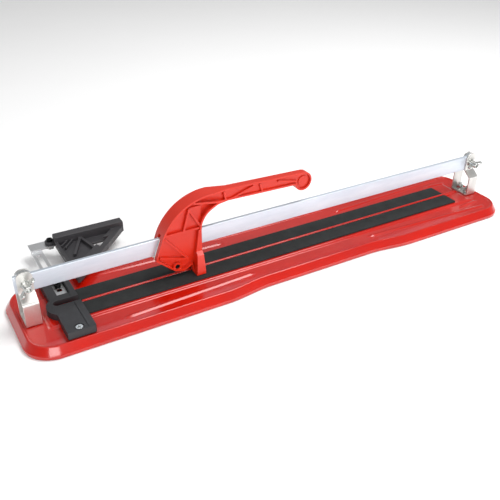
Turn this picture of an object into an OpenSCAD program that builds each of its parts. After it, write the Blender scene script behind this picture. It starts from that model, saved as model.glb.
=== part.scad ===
// Manual rail tile cutter: pressed tray, clamped rail, rolling scoring carriage, slotted end fence
// and a sliding angle square. Origin: bottom centre of the tray's feet. +X along the rail from the
// fence, +Y to the back, +Z up. Millimetres.

/* [Base tray] */
// Length of the pressed steel tray
tray_l = 760; // [740:5:800]
// Width of the tray at its ends
tray_w = 148; // [140:1:156]
// Height of the tray's rounded rim crest above the table
tray_h = 14.8; // [14:0.1:16]
// Radius of the tray's corners in plan
corner_r = 37; // [34:1:40]
// How far each long side is drawn in at the waist
waist_in = 7.2; // [4:0.2:8]
// Thickness of the tray's sheet steel
sheet_t = 1.4; // [1.2:0.1:1.6]
// Height of the centre breaking ridge above the raised bed
ridge_h = 3.2; // [3:0.1:3.4]

/* [Rubber pads and feet] */
// Thickness of the two table pads
pad_t = 2.4; // [2:0.1:2.5]
// Width of each pad
pad_w = 25.2; // [24:0.2:26]
// Where the pads end, measured from the middle of the tray
pad_end_x = 313; // [300:1:325]
// Radius of each rubber foot
foot_r = 10; // [8:0.5:11]

/* [Rail and end brackets] */
// Height of the steel rail's section
rail_h = 23; // [22:0.5:24]
// Thickness of the rail
rail_t = 5; // [4.8:0.1:5.2]
// Height of the rail's underside above the table
rail_z = 54; // [53.5:0.5:54.5]
// Width of each bent strap bracket
bracket_w = 19; // [17:0.5:19]
// Thickness of the strap
strap_t = 2; // [1.8:0.1:2.2]
// Distance from the end of the tray to the middle of a bracket
bracket_in = 22; // [21.5:0.5:23]

/* [Carriage and handle] */
// Where the carriage's upper axle stands along the rail
carriage_x = -173; // [-190:1:100]
// Overall thickness of the handle's arch
arch_t = 22; // [21:0.5:23]
// Overall thickness of the grip
grip_t = 10.5; // [10:0.5:13]
// Length of the grip from the arch to the middle of its end boss
grip_l = 144; // [120:1:170]
// Outer diameter of the two rail rollers
roller_d = 13; // [12.6:0.1:13]
// Diameter of the scoring wheel
wheel_d = 22; // [20:0.5:22]

/* [Fence and angle square] */
// Height of the fence's top above the table
fence_z = 24.5; // [24:0.1:25]
// Length of the fence across the tray
fence_l = 129; // [128:1:130]
// Width of the sliding arm
arm_w = 15; // [14:0.5:15]
// Length of each short side of the angle square along X
square_l = 100; // [90:1:105]

/* [Hidden] */
$fn = 64;
gap = 0.3;
fit = 0.05;
eps = 0.02;

// Tray levels
hem_z = 0.8;
floor_z = tray_h - 1.8;
bed_z = floor_z + 2.4;
pad_top = bed_z + pad_t;
half_l = tray_l / 2;
half_w = tray_w / 2;
bed_half_l = half_l - 34;
bed_half_w = 34;
bed_slope = 3.5;

// Waist of the tray: where each long side starts and stops drawing in
waist_x = [-128, -58, 108, 184];
// Steps round each corner of the tray
corner_n = 8;

// Brackets and rail
bracket_x = half_l - bracket_in;
rail_top = rail_z + rail_h;
rail_half = half_l - 10;
leg_y = 17;
leg_top = rail_top + 5;
bolt_z = rail_z + rail_h / 2;
clamp_y = rail_t / 2 + fit;
clamp_out = clamp_y + strap_t;
bolt_r = 3;
base_bolt_y = 8;

// Fence, arm and square
fence_x0 = -half_l + 48;
fence_x1 = fence_x0 + 34.5;
fence_mid_x = -half_l + 67.5;
wheel_gap = 10;
arm_z = bed_z + 0.35;
arm_t = 1.8;
arm_end_y = 17;
arm_back_y = 141;
arm_slot_y = [33, 131];
arm_step = 3.2;
plate_z = arm_z + arm_step;
clamp_at = [fence_mid_x, 42.5];
// The rear fence screw passes down through the arm's slot
fence_screw_at = [[fence_x0 + 16, 8 - fence_l / 2], [fence_mid_x - 1, fence_l / 2 - 7.5]];
window_y0 = arm_end_y - 1;
window_y1 = 50;
pivot_at = [-half_l + 89, 150];
square_x0 = -half_l + 93;
square_y1 = 150;
square_z = 19.2;
square_h = 8.8;
wall_h = 15.8;
wall_w = 14;
square_d = square_l + 13;

// Carriage: positions from the upper axle
roller_r = roller_d / 2;
roller_w = 4;
axle_r = 2.5;
ring_r = 4.4;
top_z = rail_top + roller_r + 0.1;
low_dx = -7;
low_z = top_z - 37;
wheel_dx = 5;
wheel_z = 33;
wheel_r = wheel_d / 2;
wheel_t = 2;
cheek_y = 5.5;
slot_y = rail_t / 2 + 0.4;
pad_out = slot_y + 1.6;
flange = 2.4;

// Arch and grip of the handle, from the upper axle
arch_c = [56, 51];
arch_r = 76;
throat_c = [70, 79];
throat_r = 30;
post_x = throat_c[0] - throat_r;
grip_x = arch_c[0];
boss_c = [grip_x + grip_l, 109];
boss_r = 13.5;
boss_disc_r = 7.5;
foot_z = 18.4;
foot_half = 21;

// ---------------------------------------------------------------- helpers

// Points on an arc, n steps from angle a0 to a1
function arc(c, r, a0, a1, n) =
    [for (i = [0:n]) let(a = a0 + (a1 - a0) * i / n) [c[0] + r * cos(a), c[1] + r * sin(a)]];

// 0 before 0, 1 after 1, and a smooth S between
function smooth(t) = t <= 0 ? 0 : t >= 1 ? 1 : (1 - cos(180 * t)) / 2;

// How far the long side is drawn in at x
function waist(x) = waist_in * (smooth((x - waist_x[0]) / (waist_x[1] - waist_x[0]))
                              - smooth((x - waist_x[2]) / (waist_x[3] - waist_x[2])));

// Places along the long side where its curve needs a point
waist_xs = concat([for (i = [0:8]) waist_x[0] + (waist_x[1] - waist_x[0]) * i / 8],
                  [for (i = [0:8]) waist_x[2] + (waist_x[3] - waist_x[2]) * i / 8]);

// The tray's outline drawn in by d, anticlockwise from above
function outline(d) =
    let(cx = half_l - corner_r, cy = half_w - corner_r, r = corner_r - d, n = len(waist_xs))
    concat([for (x = waist_xs) [x, -(half_w - d - waist(x))]],
           arc([cx, -cy], r, -90, 0, corner_n), arc([cx, cy], r, 0, 90, corner_n),
           [for (i = [n - 1:-1:0]) [waist_xs[i], half_w - d - waist(waist_xs[i])]],
           arc([-cx, cy], r, 90, 180, corner_n), arc([-cx, -cy], r, 180, 270, corner_n));

// The outline's point straight across the tray from point i of n
function across(i, n) = (2 * len(waist_xs) + 2 * corner_n + 1 - i + n) % n;

// A closed skin through a list of outlines, the first facing up and the last facing down. Each of
// those two faces is a row of strips that run straight across the tray.
module skin(rings) {
    n = len(rings[0]);
    m = len(rings);
    points = [for (ring = rings) each ring];
    sides = [for (k = [0:m - 2]) for (i = [0:n - 1])
        let(j = (i + 1) % n) [k * n + i, k * n + j, (k + 1) * n + j, (k + 1) * n + i]];
    upper = [for (k = [0:n / 2 - 2])
        let(a = (n - corner_n - 1 + k) % n, b = (a + 1) % n) [across(a, n), across(b, n), b, a]];
    lower = [for (strip = upper) [for (i = [3:-1:0]) (m - 1) * n + strip[i]]];
    polyhedron(points, concat(upper, sides, lower));
}

// A YZ profile extruded along X
module along_x(x0, x1) {
    translate([x0, 0, 0]) rotate([90, 0, 90]) linear_extrude(x1 - x0) children();
}

// An XZ profile extruded along Y
module along_y(y0, y1) {
    translate([0, y1, 0]) rotate([90, 0, 0]) linear_extrude(y1 - y0) children();
}

// A round bar along Y, centred on [x, z]
module rod_y(at, r, y0, y1) {
    translate([at[0], y0, at[1]]) rotate([-90, 0, 0]) cylinder(h = y1 - y0, r = r);
}

// A round bar along Z, centred on [x, y]
module rod_z(at, r, z0, z1) {
    translate([at[0], at[1], z0]) cylinder(h = z1 - z0, r = r);
}

// A hexagon nut or head along Z, measured across its flats
module hex_z(at, flats, z0, z1) {
    translate([at[0], at[1], z0]) cylinder(h = z1 - z0, r = flats / sqrt(3), $fn = 6);
}

// A flat ring along Z
module ring_z(at, r_in, r_out, z0, z1) {
    difference() {
        rod_z(at, r_out, z0, z1);
        rod_z(at, r_in, z0 - 1, z1 + 1);
    }
}

// A flat ring along Y
module ring_y(at, r_in, r_out, y0, y1) {
    difference() {
        rod_y(at, r_out, y0, y1);
        rod_y(at, r_in, y0 - 1, y1 + 1);
    }
}

// A straight bar of width w between two points of a plane
module bar(a, b, w) {
    d = b - a;
    translate(a) rotate(atan2(d[1], d[0])) translate([-w / 2, -w / 2]) square([norm(d) + w, w]);
}

// The same thing at both ends of the tray
module both_ends() {
    for (s = [-1, 1]) translate([s * bracket_x, 0, 0]) children();
}

// ---------------------------------------------------------------- tray, feet and pads

// Depth inwards and height of the pressed sheet's upper face, from the floor out to the hem
rim_face = [[12, floor_z], [10.6, floor_z + 0.3], [9.2, tray_h - 0.3], [7.9, tray_h], [6.7, tray_h - 0.3],
            [5.6, tray_h - 1.5], [1.5, 7], [0.5, 6], [0, 5.2], [0, hem_z]];
// The same along its lower face, from the hem in to the floor
rim_back = [[sheet_t, hem_z], [sheet_t, 4.9], [2.6, 6.2], [6.8, tray_h - 2], [7.9, tray_h - sheet_t],
            [8.6, tray_h - sheet_t - 0.2], [10.2, floor_z - sheet_t + 0.1], [11.4, floor_z - sheet_t]];

module tray_shell() {
    skin([for (p = concat(rim_face, rim_back)) [for (q = outline(p[0])) [q[0], q[1], p[1]]]]);
}

// The raised bed, or the hollow under it when drawn in and down by t
module bed(t) {
    top = bed_z - t;
    low = floor_z - t - (t > 0 ? 1 : 0);
    l = bed_half_l - t;
    w = bed_half_w - t;
    s = bed_slope * (top - low) / (bed_z - floor_z);
    intersection() {
        along_x(-l, l) polygon([[-w, low - eps], [-w + s, top], [w - s, top], [w, low - eps]]);
        along_y(-w - 1, w + 1) polygon([[-l, low - eps], [-l + s, top], [l - s, top], [l, low - eps]]);
    }
}

// A pressed stiffening bead on the floor between two points
module bead(a, b) {
    translate([0, 0, floor_z - eps]) linear_extrude(1.2) {
        bar(a, b, 4.2);
    }
}

module base_tray() color("#d3281e") {
    ridge_x = fence_x1 + 1.5;
    difference() {
        union() {
            tray_shell();
            bed(0);
            // Breaking ridge between the pads
            along_x(ridge_x, bed_half_l - bed_slope) {
                translate([-2.2, bed_z - eps]) square([4.4, ridge_h - 2.2 + eps]);
                translate([0, bed_z + ridge_h - 2.2]) circle(r = 2.2);
            }
            for (s = [-1, 1]) {
                bead([-254, s * 53], [-78, s * 44.5]);
                bead([128, s * 43.5], [345, s * 54]);
                bead([314, s * 40], [347, s * 37]);
            }
        }
        bed(sheet_t);
        both_ends() for (s = [-1, 1]) rod_z([0, s * base_bolt_y], bolt_r + 0.2, 5, 20);
        for (at = fence_screw_at) rod_z(at, 2.2, 5, 20);
        rod_z(clamp_at, bolt_r + 0.2, 5, 20);
    }
}

// A rubber foot that reaches up to the sheet at height h
module foot(h) {
    rotate_extrude() polygon([[0, 0], [foot_r - 1, 0], [foot_r, 1], [foot_r - 2, h], [0, h]]);
}

// One foot near each corner, and one in the middle where the tile is snapped
module rubber_feet() color("#1d1d1f") {
    for (x = [-1, 1]) for (y = [-1, 1])
        translate([x * (half_l - 35), y * 46, 0]) foot(floor_z - sheet_t);
    foot(bed_z - sheet_t);
}

module pad(y0) {
    translate([fence_x1 + gap, y0, bed_z]) cube([pad_end_x - fence_x1 - gap, pad_w, pad_t]);
}

module front_pad() color("#2a2a2c") pad(-pad_w - 2.6);
module rear_pad() color("#2a2a2c") pad(2.6);

// ---------------------------------------------------------------- brackets and rail

// Half of the strap's bent section, outside then inside
strap_out = [[leg_y, floor_z], [leg_y, 45], [clamp_out, rail_z], [clamp_out, leg_top]];
strap_in = [[clamp_y, leg_top], [clamp_y, rail_z - 0.9], [leg_y - strap_t, 44.1],
            [leg_y - strap_t, floor_z + strap_t]];

function mirrored(points) = [for (i = [len(points) - 1:-1:0]) [-points[i][0], points[i][1]]];

module bracket() {
    half = concat(strap_out, strap_in);
    r = 8;
    difference() {
        intersection() {
            along_x(-bracket_w / 2, bracket_w / 2) polygon(concat(half, mirrored(half)));
            along_y(-leg_y - 1, leg_y + 1) polygon(concat(
                [[-bracket_w / 2, 0], [bracket_w / 2, 0]],
                arc([bracket_w / 2 - r, leg_top - r], r, 0, 90, 6),
                arc([-bracket_w / 2 + r, leg_top - r], r, 90, 180, 6)));
        }
        rod_y([0, bolt_z], bolt_r + 0.2, -20, 20);
        for (s = [-1, 1]) rod_z([0, s * base_bolt_y], bolt_r + 0.2, 5, 20);
    }
}

module near_bracket() color("#d5d6d6") translate([-bracket_x, 0, 0]) bracket();
module far_bracket() color("#d5d6d6") translate([bracket_x, 0, 0]) bracket();

module rail() color("#cfd5dd") {
    h = rail_t / 2;
    c = 0.5;
    difference() {
        along_x(-rail_half, rail_half) polygon([
            [-h + c, rail_z], [h - c, rail_z], [h, rail_z + c], [h, rail_top - c],
            [h - c, rail_top], [-h + c, rail_top], [-h, rail_top - c], [-h, rail_z + c]]);
        both_ends() rod_y([0, bolt_z], bolt_r + 0.2, -20, 20);
    }
}

// Mushroom-headed bolts up through the tray and each strap's foot
module base_bolts() color("#b9bbbc") {
    under = floor_z - sheet_t;
    both_ends() for (s = [-1, 1]) translate([0, s * base_bolt_y, 0]) {
        rod_z([0, 0], 6.5, under - 1.6, under);
        rod_z([0, 0], 5, under - 2.8, under - 1.6);
        rod_z([0, 0], bolt_r, under, floor_z + 14);
    }
}

module base_washers() color("#c4c6c7") {
    both_ends() for (s = [-1, 1])
        ring_z([0, s * base_bolt_y], bolt_r + fit, 6, floor_z + strap_t, floor_z + strap_t + 1.2);
}

module base_nuts() color("#b4b6b7") {
    z0 = floor_z + strap_t + 1.2;
    both_ends() for (s = [-1, 1]) difference() {
        hex_z([0, s * base_bolt_y], 10, z0, z0 + 5);
        rod_z([0, s * base_bolt_y], bolt_r + fit, z0 - 1, z0 + 6);
    }
}

// Cross bolts that squeeze the straps on the rail, heads at the back
module rail_bolts() color("#b9bbbc") {
    both_ends() {
        translate([0, clamp_out + 4, bolt_z]) rotate([90, 0, 0]) cylinder(h = 4, r = 10 / sqrt(3), $fn = 6);
        rod_y([0, bolt_z], bolt_r, -16, clamp_out + eps);
    }
}

module rail_bolt_washers() color("#c4c6c7") {
    both_ends() ring_y([0, bolt_z], bolt_r + fit, 6, -clamp_out - 1.2, -clamp_out);
}

// A wing nut on the cross bolt, wings turned by the given angle
module wing_nut(turn) {
    y1 = -clamp_out - 1.2 - gap;
    translate([0, 0, bolt_z]) rotate([0, turn, 0]) difference() {
        union() {
            rod_y([0, 0], 5.2, y1 - 5.4, y1);
            rod_y([0, 0], 4.4, y1 - 7, y1 - 5.4);
            for (s = [-1, 1]) translate([0, y1 - 4.2, 0]) wing(s);
        }
        rod_y([0, 0], bolt_r + fit, y1 - 8, y1 + 1);
    }
}

// One flat wing, its rounded tip towards the free end of the bolt
module wing(s) {
    translate([0, 0, -1.3]) linear_extrude(2.6) {
        polygon([[s * 4, 2.6], [s * 8.5, 1.6], [s * 13.6, -3], [s * 9.2, -7.6], [s * 4, -2.4]]);
        translate([s * 11.2, -5]) circle(r = 3.5);
    }
}

module near_wing_nut() color("#d0d1d1") translate([-bracket_x, 0, 0]) wing_nut(52);
module far_wing_nut() color("#d0d1d1") translate([bracket_x, 0, 0]) wing_nut(8);

// ---------------------------------------------------------------- fence

module fence_plan() {
    h = fence_l / 2;
    difference() {
        union() {
            polygon(concat([[fence_x0, -h], [fence_x1 - 3, -h]], arc([fence_x1 - 3, -h + 3], 3, -90, 0, 4),
                           arc([fence_x1 - 3, h - 3], 3, 0, 90, 4), [[fence_x0, h]]));
            // Rounded lobe behind the wheel slot
            intersection() {
                translate([fence_x0 + 12, -6.5]) circle(r = 20);
                translate([fence_x0 - 10, -40]) square([20, 80]);
            }
        }
        // Slot that the scoring wheel runs into
        translate([fence_x0 + 7, -wheel_gap / 2]) square([60, wheel_gap]);
        translate([fence_x0 + 7, 0]) circle(r = wheel_gap / 2);
        // Window over the end of the sliding arm
        translate([fence_mid_x - arm_w / 2 - 0.6, window_y0]) square([arm_w + 1.2, window_y1 - window_y0]);
    }
}

module fence_body() color("#3b3b3e") {
    difference() {
        translate([0, 0, floor_z + 0.1]) linear_extrude(fence_z - floor_z - 0.1) fence_plan();
        // Relief over the raised bed
        translate([fence_x0 - 20, -bed_half_w - 0.5, 0]) cube([80, 2 * bed_half_w + 1, bed_z + 0.05]);
        // Relief at each end over the tray's rim
        for (s = [-1, 1]) translate([fence_x0 - 1, s > 0 ? 61 : -81, 0]) cube([40, 20, tray_h + gap]);
        // Channel for the sliding arm
        translate([fence_mid_x - arm_w / 2 - gap, 1, 0])
            cube([arm_w + 2 * gap, fence_l, arm_z + arm_t + gap]);
        // Scale grooves along the fence
        for (y = [-fence_l / 2 + 3, wheel_gap / 2 + 3])
            translate([fence_x1 - 9.5, y, fence_z - 0.8]) cube([1, fence_l / 2 - wheel_gap / 2 - 6, 2]);
        for (at = fence_screw_at) {
            rod_z(at, 5.5, fence_z - 3, fence_z + 1);
            rod_z(at, 2.7, 0, fence_z);
        }
    }
}

module fence_screws() color("#b9c0bf") {
    for (at = fence_screw_at) difference() {
        union() {
            rod_z(at, 4.4, fence_z - 3, fence_z - 0.6);
            rod_z(at, 2, 7, fence_z - 3);
        }
        for (a = [20, 110]) translate([at[0], at[1], fence_z - 1]) rotate(a) cube([5, 1, 2.4], center = true);
    }
}

module fence_nuts() color("#b4b6b7") {
    for (at = fence_screw_at) difference() {
        hex_z(at, 7, floor_z - sheet_t - 3.2, floor_z - sheet_t);
        rod_z(at, 2 + fit, 5, 20);
    }
}

// ---------------------------------------------------------------- sliding arm and its clamp

module slide_arm() color("#cfd2d4") {
    x0 = fence_mid_x - arm_w / 2;
    back = arm_back_y + 19;
    difference() {
        union() {
            translate([x0, arm_end_y, arm_z]) cube([arm_w, arm_back_y - arm_end_y + arm_t, arm_t]);
            translate([x0, arm_back_y, arm_z]) cube([arm_w, arm_t, arm_step + arm_t]);
            translate([x0, arm_back_y, plate_z]) cube([pivot_at[0] - x0, 19, arm_t]);
            translate([0, 0, plate_z]) linear_extrude(arm_t)
                translate([pivot_at[0], (arm_back_y + back) / 2]) circle(r = 9.5);
        }
        // Long adjusting slot
        translate([fence_mid_x - 3.3, arm_slot_y[0], 0]) cube([6.6, arm_slot_y[1] - arm_slot_y[0], 40]);
        rod_z(pivot_at, bolt_r + 0.2, 5, 40);
    }
}

module clamp_washer() color("#c4c6c7") {
    z0 = arm_z + arm_t + gap;
    ring_z(clamp_at, bolt_r + 0.1, 5.6, z0, z0 + 1.2);
}

module clamp_screw() color("#232325") {
    z0 = arm_z + arm_t + 2 * gap + 1.2;
    difference() {
        union() {
            rod_z(clamp_at, 4, z0, z0 + 4);
            rod_z(clamp_at, bolt_r, 6, z0);
        }
        hex_z(clamp_at, 4, z0 + 1.6, z0 + 5);
    }
}

module clamp_nut() color("#b4b6b7") {
    difference() {
        hex_z(clamp_at, 10, floor_z - sheet_t - 4.4, floor_z - sheet_t);
        rod_z(clamp_at, bolt_r + fit, 2, 20);
    }
}

// ---------------------------------------------------------------- angle square

module square_plan() {
    x1 = square_x0 + square_l;
    polygon([[square_x0, square_y1], [square_x0, square_y1 - square_d], [square_x0 + 3, square_y1 - square_d],
             [x1, square_y1 - 13], [x1, square_y1]]);
}

// The plan drawn in from its left, front and right edges
module square_inner() {
    x1 = square_x0 + square_l;
    y0 = square_y1 - square_d;
    polygon([[square_x0 + 4, square_y1 - wall_w], [square_x0 + 4, y0 + 26], [x1 - 20, square_y1 - wall_w]]);
}

module angle_square() color("#38383a") {
    top = square_z + square_h;
    window = [[46, -30], [72, -30], [51, -52]];
    difference() {
        union() {
            difference() {
                translate([0, 0, square_z]) linear_extrude(square_h) square_plan();
                translate([0, 0, square_z + 3]) linear_extrude(square_h) square_inner();
            }
            // Ribs across the recess
            intersection() {
                translate([0, 0, square_z + 1]) linear_extrude(square_h - 2) square_inner();
                translate([square_x0, square_y1, 0]) linear_extrude(40) {
                    bar([36, -12], [16, -52], 4);
                    bar([36, -12], [46, -56], 4);
                    bar([24, -14], [10, -30], 2.4);
                    bar([16, -14], [6, -24], 2.4);
                }
            }
            // Tall back wall
            translate([square_x0, square_y1 - wall_w, square_z]) cube([square_l, wall_w, wall_h]);
            // Pivot lug on the arm's plate
            rod_z(pivot_at, 7, plate_z + arm_t + gap, top - 3);
        }
        // Hollow under the back wall
        translate([square_x0 + 6, square_y1 - wall_w + 3, square_z - 1])
            cube([square_l - 9, wall_w - 6, wall_h - 2]);
        // Window through the plate
        translate([square_x0, square_y1, 0]) linear_extrude(60) polygon(window);
        // Room for the arm's plate and the pivot screw
        translate([pivot_at[0] - 12, pivot_at[1] - 12, 0]) cube([24, 24, plate_z + arm_t + gap]);
        rod_z(pivot_at, 4.8, top - 3, 60);
        rod_z(pivot_at, bolt_r + fit, 0, 60);
    }
}

module square_pivot_screw() color("#232325") {
    z0 = square_z + square_h - 3 + gap;
    difference() {
        union() {
            rod_z(pivot_at, 4.2, z0, z0 + 3);
            rod_z(pivot_at, bolt_r, plate_z - 6, z0);
        }
        hex_z(pivot_at, 4, z0 + 1.2, z0 + 4);
    }
}

module square_pivot_nut() color("#b4b6b7") {
    difference() {
        hex_z(pivot_at, 10, plate_z - 5, plate_z);
        rod_z(pivot_at, bolt_r + fit, 0, 40);
    }
}

// ---------------------------------------------------------------- carriage

// Everything on the carriage is drawn with the upper axle at x = 0
module at_carriage() {
    translate([carriage_x, 0, 0]) children();
}

// The handle's side outline, drawn in by d
module side(d) {
    heel = [-25, 50.5];
    r = arch_r - d;
    shoulder = [arch_c[0] + r * cos(158), arch_c[1] + r * sin(158)];
    polygon(concat(
        [[heel[0] + 1.1 * d, heel[1] + 0.4 * d], shoulder],
        arc(arch_c, r, 154, 90, 16),
        [[boss_c[0], boss_c[1] + boss_r - d], [boss_c[0], 106 + d]],
        arc(throat_c, throat_r + d, 90, 180, 12),
        [[post_x - d, foot_z + d], [post_x - 13 + 0.3 * d, foot_z + d], [25 + 0.3 * d, 31 + 1.2 * d],
         [14, 25 + 1.1 * d], [1, 28 + 1.1 * d]]));
}

// The same with the round end boss
module whole_side(d) {
    side(d);
    translate(boss_c) circle(r = boss_r - d);
}

// Stiffening ribs of the arch and the grip
module ribs() {
    bar([-18, 52], [20, 41], 2.6);
    bar([-10, 77], [20, 41], 2.6);
    bar([-9, 82], [38, 82], 2.6);
    bar([16, 84], [24, 111], 2.6);
    bar([24, 111], [40, 83], 2.6);
    bar([32, 118], [78, 110], 2.6);
    bar([76, 122], [79, 108], 2.6);
    bar([82, 108], [120, 120], 2.4);
    bar([131, 120], [135, 107], 2.4);
    bar([160, 118], [187, 112], 2.4);
}

// Plan of the handle: a thick arch that narrows to the grip
module handle_plan() {
    a = arch_t / 2;
    g = grip_t / 2;
    end_x = boss_c[0] + 20;
    polygon([[-30, -a], [58, -a], [82, -g], [end_x, -g], [end_x, g], [82, g], [58, a], [-30, a]]);
}

// Slot for the rail, with room for the handle to tilt, and open below for the lower roller and wheel
module rail_slot() {
    top = rail_top + 0.6;
    polygon([[-40, rail_top + 15], [-27, rail_top + 10.4], [0, top], [60, top], [60, 29.5], [21, 43.5],
             [21, 0], [-40, 0]]);
}

module handle() color("#dc2a1d") at_carriage() {
    a = arch_t / 2;
    wheel_at = [wheel_dx, wheel_z];
    difference() {
        union() {
            intersection() {
                linear_extrude(200) handle_plan();
                union() {
                    along_y(-a, a) difference() {
                        whole_side(0);
                        whole_side(flange);
                    }
                    along_y(-a + 1.5, a - 1.5) intersection() {
                        side(1);
                        ribs();
                    }
                    along_y(-2.5, 2.5) whole_side(1);
                    along_y(-cheek_y, cheek_y) intersection() {
                        side(1);
                        translate([-40, 0]) square([82, 112]);
                    }
                    rod_y(boss_c, boss_disc_r, 1.2 - grip_t / 2, grip_t / 2 - 1.2);
                    rod_y(wheel_at, 6, -9, 9);
                }
            }
            // Breaker foot: wings that spread out to each side of the cutting line
            intersection() {
                along_y(-foot_half, foot_half) polygon([[post_x, 80], [post_x - 4, 80], [post_x - 13, foot_z],
                                                        [post_x, foot_z]]);
                along_x(0, 100) polygon([[-foot_half, foot_z], [foot_half, foot_z], [foot_half, foot_z + 5],
                                         [16, 45], [a, 49], [a, 81], [-a, 81], [-a, 49], [-16, 45],
                                         [-foot_half, foot_z + 5]]);
            }
        }
        along_y(-slot_y, slot_y) rail_slot();
        // Relief under the foot for the breaking ridge
        translate([post_x - 30, -4, 0]) cube([60, 8, foot_z + 2.4]);
        // Pocket for the upper roller, and bores for the three axles
        rod_y([0, top_z], roller_r + 0.7, -slot_y, slot_y);
        rod_y([0, top_z], axle_r + fit, -4.8, 20);
        rod_y([low_dx, low_z], roller_r + 0.5, -slot_y, slot_y);
        rod_y([low_dx, low_z], axle_r + fit, -4.8, 20);
        rod_y(wheel_at, axle_r + fit, -20, 20);
        rod_y(wheel_at, 3.2, -20, -6.5);
        // Mouth for the guide pads
        along_y(-pad_out - fit, pad_out + fit) polygon([[-40, 46], [-18.5, 46], [-14.3, 77], [-40, 77]]);
    }
}

// Nylon pads either side of the rail in the mouth of the slot
module guide_pads() color("#efeeea") at_carriage() {
    difference() {
        for (s = [-1, 1]) along_y(s > 0 ? slot_y : -pad_out, s > 0 ? pad_out : -slot_y) intersection() {
            side(0.1);
            polygon([[-40, 47], [-18.6, 47], [-14.5, 76.9], [-40, 76.9]]);
        }
        rod_y([low_dx, low_z], axle_r + 4, -20, 20);
    }
}

module top_axle() color("#9a9c9e") at_carriage() rod_y([0, top_z], axle_r, -4.7, 5.4);
module bottom_axle() color("#9a9c9e") at_carriage() rod_y([low_dx, low_z], axle_r, -4.7, 5.4);

module inner_ring(at) ring_y(at, axle_r + 0.01, ring_r, -roller_w / 2, roller_w / 2);
module top_inner_ring() color("#a8aaac") at_carriage() inner_ring([0, top_z]);
module bottom_inner_ring() color("#a8aaac") at_carriage() inner_ring([low_dx, low_z]);

module roller(at) ring_y(at, ring_r + fit, roller_r, -roller_w / 2, roller_w / 2);
module top_roller() color("#8b8d8f") at_carriage() roller([0, top_z]);
module bottom_roller() color("#8b8d8f") at_carriage() roller([low_dx, low_z]);

module wheel_axle() color("#4a4b4d") at_carriage() {
    difference() {
        union() {
            rod_y([wheel_dx, wheel_z], axle_r, -6.6, 8.6);
            rod_y([wheel_dx, wheel_z], 3.1, -8.6, -6.55);
        }
        translate([wheel_dx, -8, wheel_z]) rotate([90, 0, 0]) cylinder(h = 4, r = 1.6, $fn = 6);
    }
}

module wheel_spacers() color("#b8babb") at_carriage() {
    inside = wheel_t / 2 + 0.15;
    outside = slot_y - 0.02;
    ring_y([wheel_dx, wheel_z], axle_r + 0.01, 4.5, -outside, -inside);
    ring_y([wheel_dx, wheel_z], axle_r + 0.01, 4.5, inside, outside);
}

// Scoring wheel with a V edge
module scoring_wheel() color("#8e9092") at_carriage() {
    translate([wheel_dx, 0, wheel_z]) rotate([90, 0, 0]) rotate_extrude()
        polygon([[axle_r + fit, -wheel_t / 2], [wheel_r - 1.2, -wheel_t / 2], [wheel_r, 0],
                 [wheel_r - 1.2, wheel_t / 2], [axle_r + fit, wheel_t / 2]]);
}

// ---------------------------------------------------------------- output

base_tray();
rubber_feet();
front_pad();
rear_pad();
near_bracket();
far_bracket();
rail();
base_bolts();
base_washers();
base_nuts();
rail_bolts();
rail_bolt_washers();
near_wing_nut();
far_wing_nut();
fence_body();
fence_screws();
fence_nuts();
clamp_washer();
clamp_screw();
clamp_nut();
slide_arm();
square_pivot_screw();
square_pivot_nut();
angle_square();
top_axle();
top_inner_ring();
top_roller();
handle();
guide_pads();
bottom_axle();
bottom_inner_ring();
bottom_roller();
wheel_axle();
wheel_spacers();
scoring_wheel();
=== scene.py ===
"""Looks of a manual rail tile cutter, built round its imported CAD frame.

Lengths are millimetres while a piece is being shaped, and each piece is brought to metres as its last
step. +X runs along the rail from the end fence, +Y is the back and +Z is up, as in the frame.
"""

import logging
import math
from contextlib import contextmanager
from dataclasses import dataclass
from enum import Enum
from typing import Any, Callable, Iterator, Mapping, Optional, Sequence

import bmesh
import bpy
from mathutils import Matrix, Vector


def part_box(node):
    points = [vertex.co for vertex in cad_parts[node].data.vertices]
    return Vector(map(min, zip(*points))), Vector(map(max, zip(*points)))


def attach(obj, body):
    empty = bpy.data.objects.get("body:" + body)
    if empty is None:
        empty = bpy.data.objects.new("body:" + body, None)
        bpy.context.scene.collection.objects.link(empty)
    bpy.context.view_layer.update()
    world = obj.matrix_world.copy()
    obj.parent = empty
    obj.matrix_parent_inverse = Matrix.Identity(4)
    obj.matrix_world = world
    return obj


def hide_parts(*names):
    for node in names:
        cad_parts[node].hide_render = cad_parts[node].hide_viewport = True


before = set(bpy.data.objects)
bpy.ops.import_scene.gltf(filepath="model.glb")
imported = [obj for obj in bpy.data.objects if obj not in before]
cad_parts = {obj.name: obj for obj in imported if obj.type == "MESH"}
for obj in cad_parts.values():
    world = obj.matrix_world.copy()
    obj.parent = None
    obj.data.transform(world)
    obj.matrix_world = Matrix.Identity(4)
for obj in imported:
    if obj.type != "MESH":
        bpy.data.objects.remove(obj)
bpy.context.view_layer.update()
LOG = logging.getLogger("tile_cutter")

MM = 0.001
# Points closer than this many millimetres become one
WELD = 0.002
# Edges that turn by more than this many degrees are rounded
SHARP = 32.0
# Faces that turn by less than this many degrees are one face
FLAT = 1.0
# Faces round a turned part
TURNED = 40

Point2 = tuple[float, float]


# ------------------------------------------------------------------ hand tools


class Pick(Enum):
    """What an edit mode selection is made of."""

    EDGES = "EDGE"
    FACES = "FACE"


class Way(Enum):
    """The direction that a part drawn along +Z is aimed in, as a turn about X in degrees."""

    UP = 0.0
    BACK = -90.0
    FRONT = 90.0

    def turn(self) -> Matrix:
        """Turns +Z onto this direction.

        Returns:
            The rotation.
        """
        return Matrix.Rotation(math.radians(self.value), 4, "X")


def deselect() -> None:
    """Deselects every object."""
    bpy.ops.object.select_all(action="DESELECT")


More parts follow.
